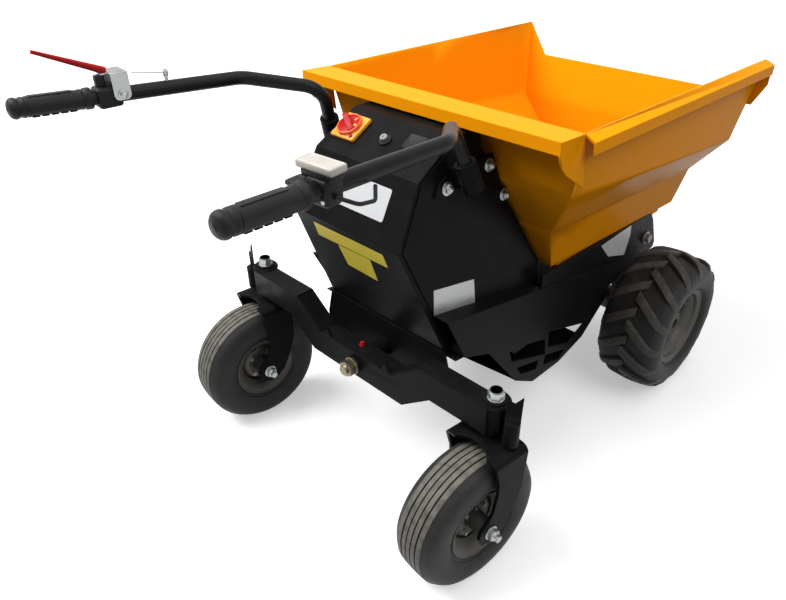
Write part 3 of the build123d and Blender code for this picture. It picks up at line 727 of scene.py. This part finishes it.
# across a lug: distance from the middle, root and top radius, and how far the bar has trailed
# by there, as an arc on LUG_RADIUS
LUG_STATIONS = ((-7.0, 185.0, 201.2, -3.0), (20.0, 184.0, 200.4, 15.0),
                (48.0, 181.0, 198.6, 35.5), (68.0, 178.0, 194.5, 50.0),
                (81.0, 170.0, 182.0, 59.5), (88.6, 154.0, 160.5, 65.0))
LUG_RADIUS = 195.0
LUG_TOP, LUG_ROOT = 25.0, 33.0  # widths of a bar


def lug(lean, rounding):
    """One tread bar that trails from the crown over the shoulder on side lean."""
    bays = len(LUG_STATIONS) - 1
    bm = bmesh.new()
    bmesh.ops.create_cube(bm, size=1.0)
    long_edges = [e for e in bm.edges if abs(e.verts[0].co.x - e.verts[1].co.x) > 0.5]
    bmesh.ops.subdivide_edges(bm, edges=long_edges, cuts=bays, use_grid_fill=True)
    for v in bm.verts:
        along = (v.co.x + 0.5) * bays
        n = min(bays - 1, int(along))
        x, low, high, lead = (a + (b - a) * (along - n)
                              for a, b in zip(LUG_STATIONS[n], LUG_STATIONS[n + 1]))
        radius, wide = (high, LUG_TOP) if v.co.z > 0 else (low, LUG_ROOT)
        angle = (lead + v.co.y * wide) / LUG_RADIUS
        v.co = (lean * x * MM, -math.sin(angle) * radius * MM, math.cos(angle) * radius * MM)
    bmesh.ops.recalc_face_normals(bm, faces=bm.faces)
    round_edges(bm, rounding, 2, 35.0)
    return bm


class DUMPER_OT_drive_wheels(bpy.types.Operator):
    """Make the lugged drive tyres"""

    bl_idname = "dumper.drive_wheels"
    bl_label = "Drive wheels"

    def execute(self, context):
        wheels = context.scene.dumper_wheels
        right = [(0, 187.4), (40, 186.4), (66, 183.6), (75.5, 180.6), (82, 174), (87, 164),
                 (89.4, 152), (89, 140), (86, 128), (81, 121), (76, 118.4), (75, 116.2),
                 (72.6, 114), (71, 111.5), (71, 101.5)]
        for side, sign in SIDES:
            where = axle_frame(f"drive_spin_{side}", sign)
            parts = [(turned(other_half(right[1:]) + right, wheels.steps), where)]
            for n in range(LUGS):
                for lean, shift in ((1, 0.0), (-1, 0.5)):
                    parts.append((lug(lean, wheels.lug_round / MM),
                                  where @ turn((n + shift) * 360.0 / LUGS, "X")))
            tyre = joined(parts)
            mark_tread(tyre, where, right[:7], 2.5, 5.5, 0.36)
            link_piece(f"drive_tyre_{side}.tread", tyre, "tyre", f"drive_wheel_{side}",
                       f"drive_tyre_{side}", 35.0)
        return {"FINISHED"}


# (x, radius) outlines of each rim; bolts: count, circle, seat and width across flats;
# valve: x, radius, thickness and length
RIMS = {
    "caster": dict(
        lip=[(48, 83.6), (48.4, 82.4), (47.4, 80.8), (45.8, 79.2), (44.4, 76.4), (43.2, 72.6),
             (30, 61.5), (22, 54.6)],
        seat=[(24, 58), (42, 75.6), (44, 79.6), (45.2, 83), (46.6, 84)],
        disc=[(19, 20), (20.5, 26), (23, 31), (24.2, 36), (24, 41), (21.5, 46), (16, 50.5),
              (10, 53.6), (8, 57), (4, 57), (4, 54), (7, 51), (13, 47.5), (18, 43.5),
              (20, 40), (20.2, 36), (19, 32), (17, 27), (15, 20)],
        hub=[(62, 8.2), (62, 11), (60.6, 11.6), (60.6, 17.4), (62, 18), (61.2, 20.6),
             (57, 22), (-57, 22), (-61.2, 20.6), (-62, 18), (-60.6, 17.4), (-60.6, 11.6),
             (-62, 11), (-62, 8.2)],
        bolts=(4, 36, 23.6, 10), valve=(31, 60, 3.4, 17)),
    "drive": dict(
        lip=[(75, 113.4), (75.6, 111.8), (74.8, 109.6), (72.6, 108), (71.6, 105), (71, 101.4),
             (69.4, 99), (66, 98), (62, 97.2), (59.4, 95), (57.6, 91.4), (50, 86), (40, 79.4)],
        seat=[(40, 83.5), (60, 96), (69.6, 102.6), (71.6, 109), (72.6, 112.6), (73.8, 113.6)],
        disc=[(30, 33), (30.6, 46), (33, 54), (34, 60), (32.5, 66), (28, 71), (22, 75),
              (18.5, 79), (18, 82.5), (14, 82.5), (14.2, 77), (18, 72.5), (24.5, 68),
              (28.6, 64), (29.8, 59.5), (28.8, 55), (26.8, 47), (26, 33)],
        hub=[(55, 15.2), (55, 20), (53.6, 21), (53.6, 28), (55, 29), (54, 33.6), (51, 35),
             (-51, 35), (-54, 33.6), (-55, 29), (-55, 15.2)],
        bolts=(5, 50, 30.6, 17), valve=(60, 92, 4.2, 22)),
}


class DUMPER_OT_rims(bpy.types.Operator):
    """Make the pressed rims with their hubs, bolts and valves"""

    bl_idname = "dumper.rims"
    bl_label = "Rims"

    def execute(self, context):
        steps = context.scene.dumper_wheels.steps
        for kind in RIMS:
            for side, sign in SIDES:
                where = axle_frame(f"{kind}_spin_{side}", sign if kind == "drive" else 1)
                self.make(kind, side, where, steps)
        return {"FINISHED"}

    def make(self, kind, side, where, steps):
        """One rim, its hub and its small parts, about the wheel's axis."""
        rim, body, node = RIMS[kind], f"{kind}_wheel_{side}", f"{kind}_rim_{side}"
        barrel = rim["lip"] + other_half(rim["lip"]) + other_half(rim["seat"]) + rim["seat"]
        pressed = [(turned(barrel, steps), where), (turned(rim["disc"], steps), where)]
        link_piece(f"{node}.pressed", pressed, "rim_paint", body, node, 40.0)
        x, radius, thick, length = rim["valve"]
        round_rim, lean = Matrix.Rotation(0.3, 4, "X"), turn(72, "Y")
        stem = where @ round_rim @ at(x, 0, radius) @ lean
        core = [(turned(rim["hub"], 48), where)]
        core += bars(stem, (thick, 0, length, 16, 0.8), (thick * 1.35, 0, length * 0.3, 16, 0.8))
        link_piece(f"{kind}_hub_{side}", core, "cast_iron", body, node)
        count, circle, seat_x, across = rim["bolts"]
        nuts = [(hex_bolt(across, across * 0.5, across * 0.68),
                 where @ turn((n + 0.5) * 360.0 / count, "X") @ at(seat_x, 0, circle)
                 @ turn(90, "Y")) for n in range(count)]
        link_piece(f"{kind}_bolts_{side}", nuts, "dull_steel", body)


class DUMPER_OT_fixings(bpy.types.Operator):
    """Make the bolts, nuts, pins and the grease cap"""

    bl_idname = "dumper.fixings"
    bl_label = "Fixings"

    def execute(self, context):
        edge = context.scene.dumper_sheet.plate_edge * 0.7
        for side, sign in SIDES:
            softened_copy(f"caster_axle_{side}", edge, "zinc")
            stem, fork, node = swivel_frame(side), f"fork_{side}", f"stem_nut_{side}"
            nut = drum(17.3, 443.6, 460, 6)
            round_top(nut, 459, 2.2)
            top = bars(stem, (18, 443.9, 445.4, 36, 0.4))
            top += [(nut, stem), (threads(12.8, 458, 464), stem)]
            link_piece(f"{node}.nut", top, "zinc", fork, node)
            ring = bars(stem, (25, 441, 444, 40, 0.8))
            link_piece(f"{node}.washer", ring, "black_paint", fork, node)
            axle = axle_frame(f"caster_spin_{side}") @ turn(90, "Y")
            washers = bars(axle, (16.5, 73, 75.2, 32, 0.5), (11.4, 85.6, 89, 28, 1.2, 10.2))
            washers.append((threads(8.0, 88, 96.8), axle))
            washers += bars(axle, (16.5, -75.2, -73, 32, 0.5))
            link_piece(f"axle_washers_{side}", washers, "zinc", fork)
            bolts = []
            for x, y, z in ((163, 221, 800), (164, 90, 789), (170, 271, 721)):
                place, normal = on_skin(f"handle_bracket_{side}", spot(sign * x, y, z))
                bolts.append((hex_bolt(17, 8, 14.5, 4), plane_frame(place, Vector((0, 1, 0)), normal)))
            link_piece(f"bracket_bolts_{side}", bolts, "zinc")
            pin = mirrored(sign) @ Matrix.Translation(spot(0, 920, 387)) @ turn(90, "Y")
            link_piece(f"tip_washer_{side}", bars(pin, (19, 217.2, 220.4, 32, 0.6)), "dull_steel")
        softened_copy("tip_pin", edge, "dull_steel")
        softened_copy("beam_pivot", edge, "brass")
        cap = bars(Matrix.Translation(spot(-8, -1, 371.7)), (7.5, -1, 3, 24, 1.0),
                   (5.5, 2.5, 9, 24, 1.6, 4.6))
        link_piece("grease_cap", cap, "red_coat", "axle_beam")
        return {"FINISHED"}


class DUMPER_OT_grips(bpy.types.Operator):
    """Make the moulded grips with their grooves and finger ridges"""

    bl_idname = "dumper.grips"
    bl_label = "Grips"

    def execute(self, context):
        ridges, pitch = 5, 16
        profile = [(-7.6, 0), (-7.4, 4.6), (-6.9, 5), (-6.6, 9), (-4.6, 14), (-1, 17.4),
                   (3, 18.7), (7, 18.6), (9.5, 17), (11.5, 16.6), (14, 16.8), (15.4, 18.2),
                   (19.6, 18.3), (20.6, 17.1), (22.4, 17.1), (23.4, 18.3), (27, 18.3)]
        for n in range(ridges):
            profile += [(31 + n * pitch, 17.5), (37 + n * pitch, 17.9)]
        profile += [(112, 17.6), (115, 18.4), (118, 18.4), (119.4, 17.4), (121, 17.4),
                    (123, 19.4), (132, 19.9), (134.6, 19), (135, 17.6), (135, 14.1), (6, 14.1),
                    (6, 0)]
        bend, end = (spot(*point) for point in HANDLE_LINE[2:])
        for side, sign in SIDES:
            tube = mirrored(sign) @ run_plane(end, bend)
            grip = [(turned(profile, 64, False), tube)]
            grip += boxes(tube, *(((13, 20, 3, 1.45, 4), (35 + n * pitch, 0, -16.5))
                                  for n in range(ridges)), ((74, 13, 2.4, 1.1, 2), (66, 0, 17.4)))
            link_piece(f"grip_{side}.moulded", grip, "grip_rubber", "chassis", f"grip_{side}", 50.0)
        return {"FINISHED"}


class DUMPER_OT_throttle(bpy.types.Operator):
    """Make the thumb control on the right tube"""

    bl_idname = "dumper.throttle"
    bl_label = "Throttle box"

    def execute(self, context):
        where = control_frame(171)
        node = "throttle_box"
        lid = [(sunk_top(slab(68, 32, 12, 3.4, 3), 1.8, 0.8), where @ at(-4, 0, 31))]
        link_piece("throttle_box.lid", lid, "grey_plastic", node=node)
        rib = (18, 2.4, 1.6, 0.7, 1)
        dark = boxes(where, ((42, 34, 40, 7, 3), (0, 0, -2)), ((56, 28, 14, 4, 2), (-3, 0, 20)),
                     ((26, 30, 8, 3.2, 3), (-32, -16, 6)), (rib, (-33, -24, 10.2)),
                     (rib, (-33, -18, 10.2)), (rib, (-33, -12, 10.2)),
                     ((14, 20, 16, 3, 2), (-22, -8, 4)))
        dark += bars(where @ at(20, -2, -6) @ turn(90, "Y"), (4.6, 0, 12, 20, 1.0))
        link_piece("throttle_box.body", dark, "black_plastic", node=node)
        screws = []
        for x in (-13, 13):
            screws += bars(where @ at(x, -16.6, -12) @ turn(90, "X"), (3.2, 0, 1.8, 18, 0.6))
        link_piece("throttle_screws", screws, "zinc")
        return {"FINISHED"}


class DUMPER_OT_lever(bpy.types.Operator):
    """Make the brake lever's bracket, its wire and their bolts"""

    bl_idname = "dumper.lever"
    bl_label = "Brake lever"

    def execute(self, context):
        where = mirrored(-1) @ control_frame(165)
        node = "lever_perch"
        dark = boxes(where, ((40, 46, 38, 7, 3), (0, 0, 0)), ((16, 18, 24, 3.4, 2), (0, -8, 28)))
        link_piece("lever_perch.clamp", dark, "black_plastic", node=node)
        cheek = [(-16, 43), (16, 43), (16, 2), (13.4, -4.4), (7, -7), (-7, -7), (-13.4, -4.4), (-16, 2)]
        upright = facing((0, 0, 0), Vector((0, 1, 0)), Vector((1, 0, 0)))
        sheet = []
        for x in (-23, 20):
            plate = card(cheek, 3)
            round_edges(plate, 0.5, 1, 60)
            sheet.append((plate, where @ at(x, 22, 0) @ upright))
        sheet += boxes(where, ((46, 32, 3, 1.2, 2), (0, 22, 41.5)), ((20, 16, 3, 1.2, 2), (0, 0, 41.5)))
        link_piece("lever_perch.bracket", sheet, "zinc", node=node)
        bolts = [(hex_bolt(12, 6, 9.5, 2), where @ at(x, 22, 3) @ turn(side * 90, "Y"))
                 for x, side in ((-23, -1), (23, 1))]
        hook, clamp = spot(-300, -285, 1003), spot(-298.6, -218, 991)
        bolts += bars(run_frame(hook, clamp), (1.1, 0, (clamp - hook).length / MM, 10))
        post = Matrix.Translation(spot(-298.6, -218, 0))
        bolts += bars(post, (3.0, 953, 998, 16, 0.8), (6.4, 955, 960, 6, 0.6),
                      (5.6, 984.4, 989, 6, 0.6), (5.2, 989.4, 995, 20, 0.8))
        link_piece("lever_hardware", bolts, "zinc")
        return {"FINISHED"}


class DUMPER_OT_console(bpy.types.Operator):
    """Make the isolator, the key switch and the display"""

    bl_idname = "dumper.console"
    bl_label = "Console"

    def execute(self, context):
        where, node = console_frame(-98, 77), "isolator_switch"
        plate = boxes(where, ((68, 66, 10, 3.2, 3), (0, 0, 5)))
        for angle in (4, 62):
            plate += boxes(where @ turn(angle, "Z"), ((8, 6, 1.4, 0.6, 1), (18, 0, 16.2)))
        link_piece("isolator_switch.plate", plate, "yellow_plastic", node=node)
        upright = where @ turn(-90, "Y")
        rim = [(9.5, 24.5), (9.5, 29), (15, 28.6), (17.6, 27.6), (18, 26.4), (17.4, 25.2), (15.6, 24.5)]
        link_piece("isolator_switch.ring", [(turned(rim, 64), upright)], "orange_plastic", node=node)
        dial = [(9, 0), (9, 24.8), (15.4, 24.8), (16.4, 23), (16.6, 0)]
        side = [(-25, 0), (-24.4, 9), (-21, 14.4), (-16, 15), (-8, 12.4), (6, 8.4), (20, 5),
                (25, 3), (25, 0)]
        ridge = card(side, 13)
        round_edges(ridge, 2.4, 3, 25)
        stand = at(0, 6.5, 15.8) @ turn(90, "X")
        hasp = where @ at(24, -24, 11) @ Matrix.Rotation(0.78, 4, "Z")
        knob = [(turned(dial, 64, False), upright), (ridge, where @ turn(-35, "Z") @ stand)]
        knob += bars(where, (9, 14, 20, 32, 1.6, 8)) + [(slab(8, 8, 3.4, 0.8, 2), hasp)]
        link_piece("isolator_switch.knob", knob, "red_coat", node=node)
        upright, node = console_frame(4, 76) @ turn(-90, "Y"), "key_switch"
        bezel = [(0, 0), (0, 14), (3.4, 14), (5, 12.6), (5.6, 9), (5.6, 0)]
        cap = [(5, 0), (5, 8.6), (11.4, 8.6), (12.8, 7.4), (12.8, 2.4), (11.6, 2.2), (11.6, 0)]
        for name, outline, finish in (("bezel", bezel, "black_plastic"),
                                      ("cap", cap, "dull_steel")):
            link_piece(f"key_switch.{name}", [(turned(outline, 40, False), upright)], finish, node=node)
        where = console_frame(84, 84)
        case = [(sunk_top(slab(46, 38, 14, 2.6, 3), 3, 1), where @ at(0, 0, 7))]
        link_piece("display_unit.case", case, "black_plastic", node="display_unit")
        link_piece("display_gasket", boxes(where, ((52, 44, 2, 0.6, 2), (0, 0, 1))), "silver_film")
        return {"FINISHED"}


class DUMPER_OT_stickers(bpy.types.Operator):
    """Lay the blank stickers and the blank plate on the housing"""

    bl_idname = "dumper.stickers"
    bl_label = "Stickers"

    def execute(self, context):
        thick = context.scene.dumper_fittings.film
        rows = (
            ("strip", "body_shell", "yellow_film", 1.0,
             ((-107, -38, 673), (107, -38, 672), (107, -23, 636), (-113, -22, 633))),
            ("patch", "body_shell", "yellow_film", 1.0,
             ((-49, -21, 630), (52, -22, 633), (46, 5, 567), (-47, 3, 572))),
            ("card", "body_shell", "white_film", 5.0,
             ((-50, 6, 793), (94, 6, 793), (94, -24, 733), (-50, -24, 733))),
            ("plate", "side_cover_right", "silver_film", 2.0,
             ((173, 42, 581), (176, 171, 554), (181, 173, 493), (179, 39, 520))),
            ("rail", "frame_rail_right", "white_film", 1.0,
             ((217, 655, 462), (217, 812, 466), (217, 816, 434), (217, 800.4, 377),
              (217, 704.9, 410))),
        )
        for name, node, finish, round_off, corners in rows:
            bm = sticker(node, [spot(*corner) for corner in corners], thick, round_off)
            link_piece(f"sticker_{name}", bm, finish)
        return {"FINISHED"}


class DUMPER_OT_welds(bpy.types.Operator):
    """Run the weld beads on the frame, the forks and the handles"""

    bl_idname = "dumper.welds"
    bl_label = "Welds"

    def execute(self, context):
        size = context.scene.dumper_fittings.weld / MM
        beads = []
        for side, sign in SIDES:
            beads.append(ring_weld(swivel_frame(side, 435.6), 30, size))
            for x, z in ((121, 371.7), (204, 435.6)):
                beads.append(weld((spot(sign * x, -34, z), spot(sign * x, 14, z)), size * 0.7))
        pivot = run_frame(spot(0, -36, 338.5), spot(0, 0, 338.5))
        beads.append(ring_weld(pivot, 20, size))
        link_piece("beam.welds", [(bead, STILL) for bead in beads], "black_paint", "axle_beam")
        foot, bend = (spot(*point) for point in HANDLE_LINE[:2])
        mouth = run_frame(foot, bend) @ at(0, 0, 56)
        for side, sign in SIDES:
            socket = [(ring_weld(mouth, 15.4, size * 0.8), mirrored(sign))]
            link_piece(f"handle_{side}.weld", socket, "black_paint")
            link_piece(f"fork_{side}.weld", ring_weld(swivel_frame(side, 350), 22.8, size),
                       "black_paint", f"fork_{side}")
        return {"FINISHED"}


class DUMPER_OT_plain_nodes(bpy.types.Operator):
    """Paint the solids that show as they are"""

    bl_idname = "dumper.plain_nodes"
    bl_label = "Solids that stay"

    def execute(self, context):
        slots = {part["node"]: part["material_slot"] for part in frame["record"]["subparts"]}
        for name, node in NODES.items():
            if node.hide_render:
                continue
            finish = finished("tube_paint" if name.startswith("handle_") else slots[name])
            if not node.data.materials:
                node.data.materials.append(finish)
            for n in range(len(node.data.materials)):
                node.data.materials[n] = finish
        return {"FINISHED"}


class DUMPER_OT_stage(bpy.types.Operator):
    """Set the floor, the lamps and the camera"""

    bl_idname = "dumper.stage"
    bl_label = "Stage"

    def execute(self, context):
        stage = context.scene.dumper_stage
        bm = bmesh.new()
        bmesh.ops.create_grid(bm, x_segments=1, y_segments=1, size=40.0)
        floor = shown("floor", meshed("floor", bm))
        floor.data.materials.append(floor_finish(stage))
        sky(context.scene, stage)
        middle = Vector((0, 0.05, 0.45))
        # place, width and share of the key lamp's power
        lamps = {"key": ((-1.5, -1.7, 3.5), 2.4, 1.0), "fill": ((2.4, 0.0, 3.0), 2.2, 0.24),
                 "top": ((0.2, 0.5, 3.9), 2.4, 0.22)}
        for name, (place, size, share) in lamps.items():
            lamp = bpy.data.lights.new(name, "AREA")
            lamp.size = size
            lamp.energy = stage.key * share
            holder = shown(name, lamp)
            holder.location = place
            holder.rotation_mode = "QUATERNION"
            holder.rotation_quaternion = (middle - Vector(place)).to_track_quat("-Z", "Y")
        camera = shown("camera", bpy.data.cameras.new("camera"))
        camera.data.sensor_width = 36.0
        camera.data.lens = stage.lens
        camera.location = (0.96959, -1.14361, 1.33460)
        camera.rotation_euler = (0.996295, 0.013872, 0.787133)
        context.scene.camera = camera
        context.scene.view_settings.view_transform = "Standard"
        return {"FINISHED"}


def seen_mix(tree, lighting, seen):
    """Shader that lights the machine one way and is looked at another way."""
    path = add_node(tree, "LightPath").outputs
    first = maths(tree, "MAXIMUM", path["Is Camera Ray"], path["Is Glossy Ray"])
    share = maths(tree, "MAXIMUM", first, path["Is Transmission Ray"])
    return add_node(tree, "MixShader", {0: share, 1: lighting, 2: seen}).outputs[0]


def floor_finish(stage):
    """White floor that keeps the shadow but gives little light back."""
    material = bpy.data.materials.new("floor")
    material.use_nodes = True
    tree = material.node_tree
    tree.nodes.clear()
    tone = ranged(tree, noise(tree, 3.0, 3.0), 0.0, 1.0, 0.84, 0.88)
    pale = add_node(tree, "CombineColor", {0: tone, 1: tone, 2: tone})
    lit = add_node(tree, "BsdfDiffuse", {"Color": pale.outputs[0]})
    where = add_node(tree, "TexCoord")
    away = add_node(tree, "VectorMath", {0: where.outputs["Object"]}, operation="LENGTH")
    # the glow grows to full white between these distances from the machine
    lift = ranged(tree, away.outputs["Value"], 1.2, 3.2, 0.42, 1.0, interpolation_type="SMOOTHSTEP")
    glow = add_node(tree, "Emission", {"Color": (1, 1, 1, 1), "Strength": lift})
    bright = add_node(tree, "AddShader", {0: lit.outputs[0], 1: glow.outputs[0]})
    dim = add_node(tree, "BsdfDiffuse", {"Color": opaque((stage.floor_shade,) * 3)})
    add_node(tree, "OutputMaterial", {"Surface": seen_mix(tree, dim.outputs[0], bright.outputs[0])})
    return material


def sky(scene, stage):
    """Even light all round, white where it is looked at."""
    scene.world = bpy.data.worlds.new("sky")
    scene.world.use_nodes = True
    tree = scene.world.node_tree
    tree.nodes.clear()
    light = add_node(tree, "Background", {"Color": (0.93, 0.97, 1.0, 1.0), "Strength": stage.sky})
    white = add_node(tree, "Background", {"Color": (1, 1, 1, 1), "Strength": 1.0})
    add_node(tree, "OutputWorld", {"Surface": seen_mix(tree, light.outputs[0], white.outputs[0])})


STEPS = (
    DUMPER_OT_sheet_metal, DUMPER_OT_caster_wheels, DUMPER_OT_drive_wheels, DUMPER_OT_rims,
    DUMPER_OT_fixings, DUMPER_OT_grips, DUMPER_OT_throttle, DUMPER_OT_lever,
    DUMPER_OT_console, DUMPER_OT_stickers, DUMPER_OT_welds, DUMPER_OT_plain_nodes,
    DUMPER_OT_stage,
)
SETTINGS = {
    "dumper_finish": DumperFinishSettings, "dumper_sheet": DumperSheetSettings,
    "dumper_wheels": DumperWheelSettings, "dumper_fittings": DumperFittingSettings,
    "dumper_stage": DumperStageSettings,
}


class DUMPER_PT_panel(bpy.types.Panel):
    """Lists the steps that dress the machine"""

    bl_label = "Mini dumper"
    bl_idname = "DUMPER_PT_panel"
    bl_space_type = "VIEW_3D"
    bl_region_type = "UI"
    bl_category = "Dumper"

    def draw(self, context):
        for group in SETTINGS:
            settings = getattr(context.scene, group)
            box = self.layout.box()
            for key in settings.bl_rna.properties.keys():
                if key not in {"rna_type", "name"}:
                    box.prop(settings, key)
        for step in STEPS:
            self.layout.operator(step.bl_idname)


def register():
    """Register the settings, the steps and the panel."""
    for name, group in SETTINGS.items():
        bpy.utils.register_class(group)
        setattr(bpy.types.Scene, name, bpy.props.PointerProperty(type=group))
    for step in STEPS:
        bpy.utils.register_class(step)
    bpy.utils.register_class(DUMPER_PT_panel)


def unregister():
    """Take everything back out."""
    bpy.utils.unregister_class(DUMPER_PT_panel)
    for step in reversed(STEPS):
        bpy.utils.unregister_class(step)
    for name, group in SETTINGS.items():
        delattr(bpy.types.Scene, name)
        bpy.utils.unregister_class(group)


def main():
    """Dress the machine."""
    register()
    for step in STEPS:
        group, name = step.bl_idname.split(".")
        getattr(getattr(bpy.ops, group), name)()


if __name__ == "__main__":
    main()
